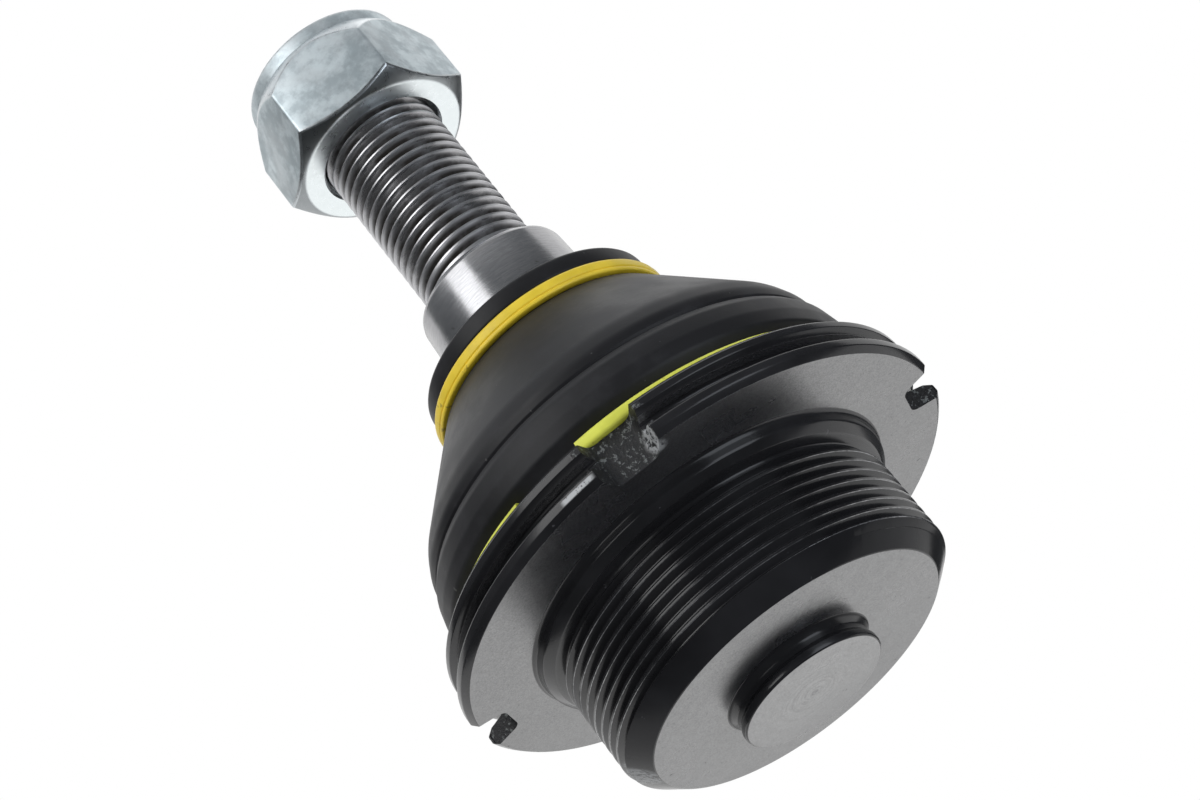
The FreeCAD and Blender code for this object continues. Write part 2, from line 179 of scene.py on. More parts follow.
# Nut, with angles in degrees
FACE_RADIUS = 11.4
FACE_CHAMFER = 35.0
CORNER_CLEAR = 0.01
NUT_EDGE = 0.32
NUT_EDGE_ANGLE = 22.0
NUT_SMOOTH_ANGLE = 28.0
COLLAR_CLEAR = 0.02
COLLAR_INSIDE = 7.0  # the collar starts inside the hexagon
COLLAR_SUNK = 0.6
COLLAR_ROLL = 0.8  # rolled edge over the locking ring
WINDOW_RADIUS = 9.3
POCKET_RADIUS = 10.25
POCKET_DEPTH = 4.2
BORE_RADIUS = 8.05
BORE_CHAMFER = 0.7
NUT_PITCH = 1.5
NUT_TURNS = 8
NUT_FIRST_GROOVE = 0.3
NUT_CORE_RADIUS = 7.6  # radii and half widths of the groove in the bore
NUT_CORE_HALF = 0.55
NUT_MOUTH_HALF = 0.42
NUT_ROOT_RADIUS = 8.62
NUT_ROOT_HALF = 0.08

# Wear, with two painted highlights among it: the end chamfer's patch and the housing thread's crest lines;
# places in metres
RIM_SCUFF = (-0.0064, -0.0329, 0.0012)
WALL_SCUFF = (0.0030, -0.0312, 0.0016)
# Place of a painted highlight on the end chamfer, not of wear
END_CHAMFER_HIGHLIGHT = (-0.0216, -0.0010, -0.0156)
SCUFF_AND_HIGHLIGHT_STEEL = (0.42, 0.43, 0.44)
SLOT_CRUMBS = (0.16, 0.17, 0.17)
# Colour of the housing's crest lines: rubbed wear and a painted highlight
CREST_WEAR_AND_HIGHLIGHT = (0.16, 0.16, 0.17)
RUBBED_YELLOW = (0.16, 0.09, 0.02)
DUST_SPECK = (0.12, 0.12, 0.12)
RUST_SPECK = (0.10, 0.07, 0.05)
DARK_SPANGLE = (0.46, 0.53, 0.56)
LIGHT_SPANGLE = (0.71, 0.79, 0.82)

# Studio, in metres, and its dark cards, in millimetres
FLOOR_WIDTH = 24.0
PLAIN_LIGHT = (1.0, 1.0, 1.0)
COOL_LIGHT = (0.86, 0.92, 1.0)
LAMP_TARGET = Vector((0.0, 0.0, 0.02))
CAMERA_PLACE = Vector((0.0, -0.3057, -0.1385))
CAMERA_RIGHT = Vector((0.78311, 0.29083, -0.54969))
CAMERA_BACK = Vector((-0.00466, -0.88114, -0.47283))
CARD_RADIUS = 560
CARD_DEPTH = 540
CARD_TOP = 800


# Sizes and colours that a user may change

def size(name, value, text):
    """A length property; its default is written in millimetres."""
    return bpy.props.FloatProperty(name=name, description=text, default=value * MM, min=0.0,
                                   subtype="DISTANCE", unit="LENGTH", precision=5)


def shade(name, value, text):
    """A colour property."""
    return bpy.props.FloatVectorProperty(name=name, description=text, default=value, min=0.0, max=1.0,
                                         subtype="COLOR", size=3)


def power(name, value, text):
    """The power of a lamp."""
    return bpy.props.FloatProperty(name=name, description=text, default=value, min=0.0, unit="POWER")


class HousingSizes(bpy.types.PropertyGroup):
    thread_radius: size("Thread radius", 22.5, "Major radius of the body's thread")
    thread_depth: size("Thread depth", 0.92, "Depth of the body's thread")
    pitch: size("Pitch", 1.5, "Pitch of the body's thread")
    body_length: size("Body length", 17.6, "Seating face to end face")
    collar_radius: size("Collar radius", 24.0, "Plain collar beside the flange")
    end_chamfer: size("End chamfer", 2.8, "Chamfer at the end face, across")
    end_chamfer_length: size("End chamfer length", 2.4, "Length of that chamfer")
    boss_radius: size("Boss radius", 9.4, "Turned boss on the end face")
    boss_height: size("Boss height", 3.1, "Height of the boss")
    flange_radius: size("Flange radius", 33.5, "Outer radius of the flange")
    groove_radius: size("Groove radius", 30.3, "Groove behind the flange")
    rim_radius: size("Rim radius", 32.6, "Outer radius of the upper rim")
    slot_mouth: size("Slot mouth", 8.0, "Tool slot at the rim")
    slot_floor: size("Slot floor", 5.4, "Tool slot at its floor")
    slot_depth: size("Slot depth", 4.2, "Tool slot, rim to floor")


class StudSizes(bpy.types.PropertyGroup):
    thread_radius: size("Thread radius", 8.0, "Major radius of the stud's thread")
    thread_depth: size("Thread depth", 0.92, "Depth of the stud's thread")
    pitch: size("Pitch", 1.5, "Pitch of the stud's thread")
    taper_radius: size("Taper radius", 10.3, "Small end of the taper")
    taper_end: size("Taper end", 47.6, "Height of the taper's small end")
    ball_radius: size("Ball radius", 13.5, "Radius of the ball")
    ball_height: size("Ball height", 3.15, "Height of the ball's middle")
    neck_radius: size("Neck radius", 6.8, "Neck above the ball")
    end_height: size("End height", 87.0, "Height of the stud's end")


class BootSizes(bpy.types.PropertyGroup):
    base_height: size("Base height", 6.2, "Height of the bead's lower face")
    end_height: size("End height", 36.9, "Height of the lip's upper face")
    bulge_radius: size("Bulge radius", 29.4, "Widest radius of the boot")
    lip_radius: size("Lip radius", 16.0, "Outer radius of the lip")


class NutSizes(bpy.types.PropertyGroup):
    flats: size("Across flats", 24.0, "Distance across the flats")
    face_height: size("Face height", 73.5, "Height of the bearing face")
    hexagon_height: size("Hexagon height", 12.7, "Height of the hexagon with its cone")
    edge_length: size("Edge length", 7.0, "Length of an edge between two flats")
    collar_height: size("Collar height", 2.3, "Height of the round collar")
    collar_radius: size("Collar radius", 11.3, "Radius of the round collar")


class FinishColours(bpy.types.PropertyGroup):
    coat: shade("Black coat", (0.018, 0.018, 0.020), "Coating of the housing")
    rubber: shade("Rubber", (0.013, 0.013, 0.015), "Rubber of the boot")
    golden: shade("Golden coat", (0.93, 0.68, 0.04), "Coating of the upper ring")
    lemon: shade("Lemon coat", (0.80, 0.82, 0.10), "Coating of the lower ring")
    steel: shade("Steel", (0.36, 0.36, 0.37), "Bare steel of the stud")
    grime: shade("Grime", (0.035, 0.030, 0.026), "Oil and dirt in the stud's thread")
    zinc: shade("Zinc", (0.62, 0.66, 0.68), "Zinc plate of the nut")
    plastic: shade("Plastic", (0.80, 0.77, 0.68), "Plastic of the bearing")
    nylon: shade("Nylon", (0.70, 0.72, 0.70), "Locking ring of the nut")


class StageSettings(bpy.types.PropertyGroup):
    floor_height: bpy.props.FloatProperty(name="Floor height", description="Height of the studio floor",
                                          default=-0.62, subtype="DISTANCE", unit="LENGTH")
    lens: bpy.props.FloatProperty(name="Lens", description="Focal length on a 36 mm wide sensor",
                                  default=86.72, min=10.0, unit="CAMERA")
    left_power: power("Left power", 0.90, "Strip lamp on the left")
    right_power: power("Right power", 0.85, "Strip lamp on the right")
    top_power: power("Top power", 0.70, "Square lamp above")
    card_tone: bpy.props.FloatProperty(name="Card tone", description="Tone of the dark cards",
                                       default=0.05, min=0.0, max=1.0)


def settings(key):
    """One of the scene's property groups."""
    return getattr(bpy.context.scene, "ball_joint_" + key)


def in_mm(group):
    """The sizes of a property group in millimetres, by name."""
    return SimpleNamespace(**{name: getattr(group, name) / MM for name in type(group).__annotations__})


# Modelling helpers

def set_mode(mode):
    bpy.ops.object.mode_set(mode=mode)


def start_fresh():
    """Leave edit mode and deselect everything."""
    if bpy.context.object is not None and bpy.context.object.mode != "OBJECT":
        set_mode("OBJECT")
    bpy.ops.object.select_all(action="DESELECT")


def pick(obj):
    """Make one object the only selected and active one."""
    start_fresh()
    obj.select_set(True)
    bpy.context.view_layer.objects.active = obj


def take_all():
    bpy.ops.mesh.select_all(action="SELECT")


def edit_all():
    """Edit mode with everything selected."""
    set_mode("EDIT")
    take_all()


def leave_solid(fill=False):
    """Leave edit mode with normals outward, and with open ends closed where asked."""
    take_all()
    if fill:
        bpy.ops.mesh.fill_holes(sides=0)
        take_all()
    bpy.ops.mesh.normals_make_consistent(inside=False)
    set_mode("OBJECT")


def name_piece(name):
    """Name the active object and its data."""
    obj = bpy.context.object
    obj.name = name
    obj.data.name = name
    return obj


def turn_selection(degrees):
    """Turn what is selected about the axis; without a window the operator turns the other way."""
    bpy.ops.transform.rotate(value=-radians(degrees), orient_axis="Z", center_override=ORIGIN)


def corner_points(before, at, after, radius, steps):
    """Points of the arc that rounds one corner, no longer than its sides allow."""
    to_before = before - at
    to_after = after - at
    shorter = min(to_before.length, to_after.length)
    to_before.normalize()
    to_after.normalize()
    half = to_before.angle(to_after) / 2
    radius = min(radius, 0.45 * shorter * tan(half))
    reach = radius / tan(half)
    centre = at + (to_before + to_after).normalized() * (radius / sin(half))
    start = at + to_before * reach - centre
    end = at + to_after * reach - centre
    turn = start.angle(end)
    points = []
    for step in range(steps + 1):
        share = step / steps
        swung = start * sin((1 - share) * turn) + end * sin(share * turn)
        points.append(centre + swung / sin(turn))
    return points


def outline(corners, closed, steps):
    """Outline points in metres from (radius, height, rounding) corners in metres."""
    points = []
    count = len(corners)
    places = [Vector((radius, 0.0, height)) for radius, height, rounding in corners]
    for index, at in enumerate(places):
        rounding = corners[index][2]
        if rounding > 0 and (closed or 0 < index < count - 1):
            points += corner_points(places[index - 1], at, places[(index + 1) % count], rounding, steps)
        else:
            points.append(at)
    return points


def draw_line(name, points, closed):
    """A line of edges, drawn by extruding one vertex from point to point."""
    start_fresh()
    bpy.ops.mesh.primitive_circle_add(vertices=3, radius=MM)
    obj = name_piece(name)
    edit_all()
    bpy.ops.mesh.merge(type="CENTER")
    bpy.ops.transform.translate(value=points[0])
    for before, after in zip(points, points[1:]):
        bpy.ops.mesh.extrude_region_move(TRANSFORM_OT_translate={"value": after - before})
    if closed:
        set_mode("OBJECT")
        last = len(obj.data.vertices) - 1
        for vertex in obj.data.vertices:
            vertex.select = vertex.index in (0, last)
        set_mode("EDIT")
        bpy.ops.mesh.edge_face_add()
    set_mode("OBJECT")
    return obj


def lathe(name, corners, closed=False, around=128, angle=360.0, turn=0.0, steps=3):
    """Body of revolution about the axis from (radius, height, rounding) corners in millimetres."""
    metres = [(radius * MM, height * MM, rounding * MM) for radius, height, rounding in corners]
    obj = draw_line(name, outline(metres, closed, steps), closed)
    edit_all()
    if turn:
        turn_selection(turn)
    bpy.ops.mesh.spin(steps=around, angle=radians(angle), center=ORIGIN, axis=(0.0, 0.0, 1.0))
    take_all()
    bpy.ops.mesh.remove_doubles(threshold=0.000002)
    leave_solid(fill=closed and angle < 360)
    return obj


def mirrored(lower_side, height):
    """Section in metres from the (radius, half width) points of its lower side."""
    section = [(radius, height - half) for radius, half in lower_side]
    return section + [(radius, height + half) for radius, half in reversed(lower_side)]


def thread_section(sizes, height):
    """Section of the groove between two crests, wider outside and with broken crest edges."""
    radius = sizes.thread_radius
    depth = sizes.thread_depth
    half = sizes.pitch / 2
    return mirrored([
        (radius + 0.30 * MM, half), (radius, half * 0.86), (radius - 0.07 * MM, half * 0.77),
        (radius - depth * 0.90, half * 0.20), (radius - depth, half * 0.08),
    ], height)


def helix(name, section, pitch, turns, around, fade_turns=0.0, fade=0.0):
    """Closed helical body that cuts a thread; section is (radius, height) points in metres.

    Over its first fade_turns it is pushed out by up to fade, so that the thread runs out."""
    obj = draw_line(name, [Vector((radius, 0.0, height)) for radius, height in section], True)
    screw = obj.modifiers.new("thread", "SCREW")
    screw.angle = 2 * pi
    screw.screw_offset = pitch
    screw.iterations = turns
    screw.steps = around
    pick(obj)
    bpy.ops.object.modifier_apply(modifier=screw.name)
    middle = (section[0][1] + section[-1][1]) / 2
    for vertex in obj.data.vertices:
        share = atan2(vertex.co.y, vertex.co.x) / (2 * pi) % 1.0
        level = (vertex.co.z - middle) / pitch
        done = share + round(level - share)
        if fade_turns and done < fade_turns:
            outwards = Vector((vertex.co.x, vertex.co.y, 0.0)).normalized()
            vertex.co += outwards * (fade * (1 - done / fade_turns))
    pick(obj)
    edit_all()
    leave_solid(fill=True)
    return obj


def cut(obj, cutters, operation="DIFFERENCE"):
    """Cut bodies out of a piece, join them to it or keep what they share, and take them away."""
    for cutter in cutters:
        pick(obj)
        tool = obj.modifiers.new("cut", "BOOLEAN")
        tool.object = cutter
        tool.operation = operation
        tool.solver = "EXACT"
        bpy.ops.object.modifier_apply(modifier=tool.name)
        bpy.data.objects.remove(cutter)
    return obj


def soften(obj, width, angle):
    """Merge the crumbs that cutting leaves and round the edges that are sharper than an angle."""
    pick(obj)
    edit_all()
    bpy.ops.mesh.remove_doubles(threshold=0.00004)
    bpy.ops.mesh.dissolve_limited(angle_limit=radians(1.5))
    set_mode("OBJECT")
    bevel = obj.modifiers.new("edges", "BEVEL")
    bevel.width = width
    bevel.segments = 3
    bevel.limit_method = "ANGLE"
    bevel.angle_limit = radians(angle)
    bevel.miter_outer = "MITER_ARC"
    bpy.ops.object.modifier_apply(modifier=bevel.name)


def paint(obj, material):
    obj.data.materials.clear()
    obj.data.materials.append(material)


def finish_piece(obj, material, body, node, angle=32.0):
    """Smooth shading by angle, a finish and its slot, the body to ride on and the node it stands for."""
    pick(obj)
    bpy.ops.object.shade_smooth_by_angle(angle=radians(angle))
    paint(obj, material)
    if body:
        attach(obj, body)
    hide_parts(node)


# Finishes

def rgb(colour):
    return tuple(colour)[:3]


def scaled(colour, share):
    return tuple(min(1.0, channel * share) for channel in rgb(colour))


class Nodes:
    """A node tree being built anew, for a material or the world."""

    def __init__(self, owner):
        owner.use_nodes = True
        self.tree = owner.node_tree
        self.tree.nodes.clear()

    def node(self, kind, **values):
        """A new node; names with a capital are its inputs, the others its settings."""
        made = self.tree.nodes.new(kind)
        for key, value in values.items():
            if key[0].isupper():
                self.put(made.inputs[key], value)
            else:
                setattr(made, key, value)
        return made

    def link(self, source, target):
        self.tree.links.new(source, target)

    def put(self, socket, value):
        """Set a socket to a number or colour, or link it."""
        if isinstance(value, bpy.types.NodeSocket):
            self.link(value, socket)
        else:
            socket.default_value = value

    def math(self, operation, first, second=0.0):
        made = self.node("ShaderNodeMath", operation=operation)
        self.put(made.inputs[0], first)
        self.put(made.inputs[1], second)
        return made.outputs[0]

    def both(self, first, *others):
        """Product of masks, or of a value and masks."""
        for other in others:
            first = self.math("MULTIPLY", first, other)
        return first

    def most(self, first, *others):
        """Largest of some masks or values."""
        for other in others:
            first = self.math("MAXIMUM", first, other)
        return first

    def seen(self):
        """Mask that is 1 for what the camera, metal and glass see."""
        path = self.node("ShaderNodeLightPath").outputs
        return self.most(path["Is Camera Ray"], path["Is Glossy Ray"], path["Is Transmission Ray"])


class Shader(Nodes):
    """A finish, with short calls for the nodes that the finishes share."""

    def __init__(self, name):
        self.material = bpy.data.materials.get(name) or bpy.data.materials.new(name)
        super().__init__(self.material)
        self.surface = self.node("ShaderNodeBsdfPrincipled")
        self.output = self.node("ShaderNodeOutputMaterial")
        self.link(self.surface.outputs["BSDF"], self.output.inputs["Surface"])
        self.place = self.node("ShaderNodeTexCoord")

    def noise(self, scale, detail, roughness, vector=None):
        vector = vector or self.place.outputs["Object"]
        made = self.node("ShaderNodeTexNoise", Scale=scale, Detail=detail, Roughness=roughness, Vector=vector)
        return made.outputs["Fac"]

    def plus(self, first, second):
        return self.math("ADD", first, second)

    def less(self, first, second):
        return self.math("SUBTRACT", first, second)

    def ramp(self, value, low, high, out_low=0.0, out_high=1.0):
        """Value from low to high becomes out_low to out_high, smoothly, and stays there."""
        made = self.node("ShaderNodeMapRange", interpolation_type="SMOOTHSTEP")
        made.clamp = True
        for socket, given in zip(made.inputs, (value, low, high, out_low, out_high)):
            self.put(socket, given)
        return made.outputs[0]

    def above(self, value, level, soft):
        """Mask that goes from 0 to 1 in a soft step that starts at a level."""
        return self.ramp(value, level, level + soft)

    def below(self, value, level, soft):
        """Mask that goes from 1 to 0 in a soft step that starts at a level."""
        return self.ramp(value, level, level + soft, 1.0, 0.0)

    def band(self, value, low, high, soft):
        """Mask that is 1 between two levels."""
        return self.both(self.above(value, low, soft), self.below(value, high, soft))

    def near(self, place, reach):
        """Mask that is 1 round a place and 0 from a reach away, in metres."""
        away = self.node("ShaderNodeVectorMath", operation="DISTANCE")
        self.link(self.place.outputs["Object"], away.inputs[0])
        away.inputs[1].default_value = place
        return self.ramp(away.outputs["Value"], reach * 0.7, reach, 1.0, 0.0)

    def mix(self, share, first, second):
        made = self.node("ShaderNodeMix", data_type="RGBA")
        self.put(made.inputs[0], share)
        for socket, value in ((made.inputs[6], first), (made.inputs[7], second)):
            self.put(socket, value if isinstance(value, bpy.types.NodeSocket) else (*value, 1.0))
        return made.outputs[2]

    def split(self, output):
        """The three parts of a place or a normal."""
        made = self.node("ShaderNodeSeparateXYZ")
        self.link(self.place.outputs[output], made.inputs[0])
        return made.outputs

    def polar(self):
        """Radius, angle and height of the shaded point."""
        x, y, z = self.split("Object")
        radius = self.math("SQRT", self.plus(self.both(x, x), self.both(y, y)))
        return radius, self.math("ARCTAN2", y, x), z

    def facing(self):
        """How much the surface faces along the axis, up or down."""
        return self.math("ABSOLUTE", self.split("Normal")[2])

    def vector(self, x, y, z):
        return self.node("ShaderNodeCombineXYZ", X=x, Y=y, Z=z).outputs[0]

    def bump(self, height, distance, strength=1.0, before=None):
        made = self.node("ShaderNodeBump", Strength=strength, Distance=distance, Height=height)
        if before is not None:
            self.link(before, made.inputs["Normal"])
        return made.outputs["Normal"]

    def finish(self, **values):
        for key, value in values.items():
            self.put(self.surface.inputs[key.replace("_", " ")], value)
        return self.material


def black_coat(colour, body):
    """Black coating: glossy turned sides, greyer faces, rough slots and scuffs, with a painted highlight on the
    end chamfer and painted highlight lines, partly wear, on the thread crests; body holds sizes in metres.
    """
    end = -body.body_length
    boss_face = end - body.boss_height
    slot_floor = body.flange_radius - body.slot_depth
    made = Shader("black_coat")
    radius, angle, height = made.polar()
    facing = made.facing()
    grain = made.noise(4200.0, 3.0, 0.7)
    cloud = made.noise(70.0, 3.0, 0.6)
    crumbs = made.noise(1300.0, 3.0, 0.8)
    cast = made.noise(1100.0, 4.0, 0.7)
    turning = made.noise(2400.0, 2.0, 0.6, made.vector(radius, made.both(angle, 0.0002), 0.0))

    flat = made.above(facing, 0.93, 0.06)
    upright = made.below(facing, 0.85, 0.05)
    boss = made.both(flat, made.below(height, boss_face + 0.2 * MM, 0.2 * MM))
    end_face = made.both(flat, made.below(height, end + 0.4 * MM, 0.2 * MM))
    centre = made.both(boss, made.below(radius, 0.3 * MM, 0.4 * MM))
    chamfer_end = end + body.end_chamfer_length
    chamfer = made.both(made.band(facing, 0.66, 0.82, 0.04), made.below(height, chamfer_end, 0.2 * MM))
    # Thread crest edges, lighter and glossier in thin broken lines: partly rubbed wear, partly a painted
    # highlight
    crest_edge = body.thread_radius - 0.03 * MM
    crest = made.both(made.band(radius, crest_edge - 0.06 * MM, crest_edge, 0.02 * MM), upright,
                      made.ramp(cloud, 0.35, 0.55, 0.25, 1.0), made.ramp(crumbs, 0.38, 0.60, 0.35, 1.15))
    across = made.math("ABSOLUTE", made.math("SINE", made.both(angle, SLOT_COUNT / 2)))
    slot = made.both(made.below(across, 0.26, 0.04), made.below(facing, 0.4, 0.2),
                     made.above(radius, slot_floor - 0.3 * MM, 0.1 * MM),
                     made.below(radius, body.flange_radius - 0.4 * MM, 0.2 * MM))

    rim_scuff = made.both(made.near(RIM_SCUFF, 2.6 * MM), made.band(height, 0.7 * MM, 1.3 * MM, 0.2 * MM),
                          made.above(radius, body.flange_radius - 0.3 * MM, 0.2 * MM),
                          made.above(crumbs, 0.36, 0.08))
    wall_scuff = made.both(made.near(WALL_SCUFF, 2.3 * MM), made.above(crumbs, 0.44, 0.06))
    # Painted highlight: a pale steel patch on the end chamfer, broken up by pits
    end_highlight = made.both(made.near(END_CHAMFER_HIGHLIGHT, 3.6 * MM), upright, made.ramp(crumbs, 0.40, 0.56, 0.15, 0.75),
                          made.below(height, end + 2.8 * MM, 0.4 * MM))
    scuffs_and_highlight = made.most(wall_scuff, rim_scuff, end_highlight)
    speck = made.both(made.above(made.noise(520.0, 3.0, 0.8), 0.70, 0.03), 0.5)
    pits = made.above(made.noise(2300.0, 4.0, 0.75), 0.58, 0.08)
    holes = made.both(flat, made.above(made.noise(430.0, 3.0, 0.8), 0.715, 0.015))

    base = made.mix(made.ramp(cloud, 0.3, 0.7), scaled(colour, 0.7), scaled(colour, 1.3))
    base = made.mix(made.both(flat, made.ramp(grain, 0.40, 0.70)), base, scaled(colour, 4.0))
    base = made.mix(made.both(slot, made.ramp(crumbs, 0.56, 0.62)), base, SLOT_CRUMBS)
    base = made.mix(speck, base, scaled(colour, 6.0))
    # The scuffs on the rim and the flange wall are wear; the patch on the end chamfer is a painted highlight
    base = made.mix(scuffs_and_highlight, base, SCUFF_AND_HIGHLIGHT_STEEL)
    # Painted highlight lines on the crests, partly rubbed wear
    base = made.mix(crest, base, CREST_WEAR_AND_HIGHLIGHT)
    rough = made.plus(made.ramp(cloud, 0.3, 0.7, 0.16, 0.23), made.both(flat, 0.10))
    rough = made.most(rough, made.both(slot, 0.55))

    marks = made.both(made.ramp(radius, 1.5 * MM, 6.0 * MM, 1.0, 0.25),
                      made.ramp(turning, 0.35, 0.65, -0.5, 0.5))
    sheen = made.plus(made.both(flat, made.ramp(grain, 0.35, 0.70, 1.50, 2.10)), 1.47)
    for mask, gain in (
        (centre, -1.0), (end_face, 0.15), (chamfer, -0.24), (boss, made.plus(marks, 0.75)), (crest, 1.6),
        (flat, made.both(pits, -0.75)), (flat, made.ramp(cast, 0.34, 0.66, -0.20, 0.20)), (holes, -1.6),
    ):
        sheen = made.plus(sheen, made.both(mask, gain))

    bump = made.bump(made.noise(900.0, 3.0, 0.6), 0.000007)
    for relief, depth in (
        (made.both(grain, flat), 0.000014), (made.both(turning, boss), 0.000012),
        (made.both(cast, flat), 0.000020), (made.less(1.0, holes), 0.00006), (made.both(crumbs, slot), 0.00025),
    ):
        bump = made.bump(relief, depth, 1.0, bump)
    return made.finish(Base_Color=base, Roughness=rough, IOR=sheen, Normal=bump)


def boot_rubber(colour):
    """Satin black rubber with a fine skin, faint dust and mould lines round the axis."""
    made = Shader("boot_rubber")
    angle, height = made.polar()[1:]
    dust = made.noise(160.0, 5.0, 0.65)
    mould_lines = made.noise(1400.0, 2.0, 0.6, made.vector(made.both(angle, 0.0006), 0.0, height))
    speck = made.both(made.above(made.noise(700.0, 2.0, 0.8), 0.73, 0.03), 0.5)
    base = made.mix(made.ramp(dust, 0.45, 0.75), rgb(colour), scaled(colour, 1.8))
    base = made.mix(speck, base, DUST_SPECK)
    bump = made.bump(made.noise(2400.0, 3.0, 0.6), 0.000008)
    bump = made.bump(mould_lines, 0.000006, 0.6, bump)
    return made.finish(Base_Color=base, Roughness=made.ramp(dust, 0.3, 0.7, 0.42, 0.52), IOR=1.36, Normal=bump)


def ring_coat(name, colour):
    """Yellow coating on spring wire, a little uneven, browner in small rubbed marks."""
    made = Shader(name)
    cloud = made.noise(240.0, 3.0, 0.6)
    mark = made.both(made.above(made.noise(330.0, 3.0, 0.7), 0.62, 0.08), 0.6)
    base = made.mix(made.ramp(cloud, 0.35, 0.65), scaled(colour, 0.86), rgb(colour))
    base = made.mix(mark, base, RUBBED_YELLOW)
    bump = made.bump(made.noise(1800.0, 3.0, 0.6), 0.000010)
    return made.finish(Base_Color=base, Roughness=made.ramp(cloud, 0.3, 0.7, 0.36, 0.50), IOR=1.5, Normal=bump)


def stud_steel(colour, grime, stud):
    """Ground steel on the taper, crests painted paler as a highlight and grimy grooves on the thread; stud
    holds sizes in metres.
    """
    made = Shader("stud_steel")
    radius, angle, height = made.polar()
    grind = made.noise(5200.0, 2.0, 0.7, made.vector(made.both(angle, 0.0009), 0.0, height))
    cloud = made.noise(190.0, 4.0, 0.65)
    speck = made.both(made.above(made.noise(620.0, 3.0, 0.75), 0.66, 0.05), 0.45)
    on_thread = made.above(height, stud.taper_end - 0.6 * MM, 0.7 * MM)
    dirt = made.both(on_thread, made.below(radius, stud.thread_radius - 0.65 * MM, 0.55 * MM),
                     made.ramp(cloud, 0.30, 0.62, 0.35, 1.0))
    crest = made.both(on_thread, made.above(radius, stud.thread_radius - 0.35 * MM, 0.3 * MM))
    base = made.mix(made.ramp(grind, 0.3, 0.7), scaled(colour, 0.90), scaled(colour, 1.08))
    base = made.mix(speck, base, RUST_SPECK)
    # Painted highlight: the thread crests get a paler steel colour
    base = made.mix(made.both(crest, made.ramp(cloud, 0.30, 0.60, 0.5, 1.0)), base, scaled(colour, 1.9))
    base = made.mix(dirt, base, rgb(grime))
    rough = made.plus(made.ramp(cloud, 0.3, 0.7, 0.17, 0.26), made.both(dirt, 0.25))
    rough = made.plus(rough, made.both(crest, 0.16))
    metal = made.less(1.0, made.both(dirt, 0.7))
    bump = made.bump(grind, 0.0000012)
    bump = made.bump(cloud, 0.00003, 0.5, bump)
    return made.finish(Base_Color=base, Roughness=rough, Metallic=metal, Normal=bump)


def zinc_plate(colour, nut):
    """Zinc plate, mottled blue grey, with soft forging dents under it, a painted highlight on the bearing face
    and painted shade on the chamfer beside it; nut holds sizes in metres.
    """
    made = Shader("zinc_plate")
    height = made.polar()[2]
    facing = made.facing()
    mottle = made.noise(900.0, 4.0, 0.7)
    cloud = made.noise(130.0, 3.0, 0.6)
    flats = made.below(facing, 0.10, 0.15)
    low = nut.face_height
    bearing = made.both(made.above(facing, 0.94, 0.04), made.below(height, low + 0.2 * MM, 0.2 * MM))
    chamfer = made.both(made.band(facing, 0.70, 0.90, 0.04), made.below(height, low + 3.0 * MM, 0.2 * MM))
    spangle = made.mix(made.ramp(made.noise(380.0, 4.0, 0.65), 0.36, 0.64), DARK_SPANGLE, LIGHT_SPANGLE)
    base = made.mix(made.ramp(mottle, 0.38, 0.62), scaled(colour, 0.90), scaled(colour, 1.08))
    base = made.mix(made.both(flats, made.ramp(cloud, 0.30, 0.60, 0.45, 1.0)), base, spangle)
    # Painted highlight: the bearing face is paler
    base = made.mix(bearing, base, scaled(colour, 1.5))
    # Painted shade: the bearing chamfer is darker
    base = made.mix(chamfer, base, scaled(colour, 0.55))
    rough = made.plus(made.ramp(mottle, 0.3, 0.7, 0.26, 0.36), made.both(flats, 0.10))
    metal = made.ramp(flats, 0.0, 1.0, 1.0, 0.72)
    bump = made.bump(mottle, 0.000012)
    bump = made.bump(cloud, 0.00004, 0.6, bump)
    return made.finish(Base_Color=base, Roughness=rough, Metallic=metal, Normal=bump)


def turned_steel(name, colour):
    """Plain steel of the inner pieces, with turning marks round the axis."""
    made = Shader(name)
    radius, angle, height = made.polar()
    marks = made.noise(3600.0, 2.0, 0.7, made.vector(radius, made.both(angle, 0.0006), height))
    base = made.mix(marks, scaled(colour, 0.7), scaled(colour, 1.1))
    return made.finish(Base_Color=base, Roughness=made.ramp(marks, 0.3, 0.7, 0.28, 0.42), Metallic=1.0,
                       Normal=made.bump(marks, 0.000005))


def moulded_plastic(name, colour):
    """Moulded plastic with a faint flow pattern and a fine skin."""
    made = Shader(name)
    flow = made.noise(120.0, 4.0, 0.6)
    base = made.mix(made.ramp(flow, 0.3, 0.7), scaled(colour, 0.90), rgb(colour))
    return made.finish(Base_Color=base, Roughness=made.ramp(flow, 0.3, 0.7, 0.38, 0.50), IOR=1.5,
                       Normal=made.bump(made.noise(2200.0, 2.0, 0.5), 0.000006))


# Operators, one for each piece or group of like pieces

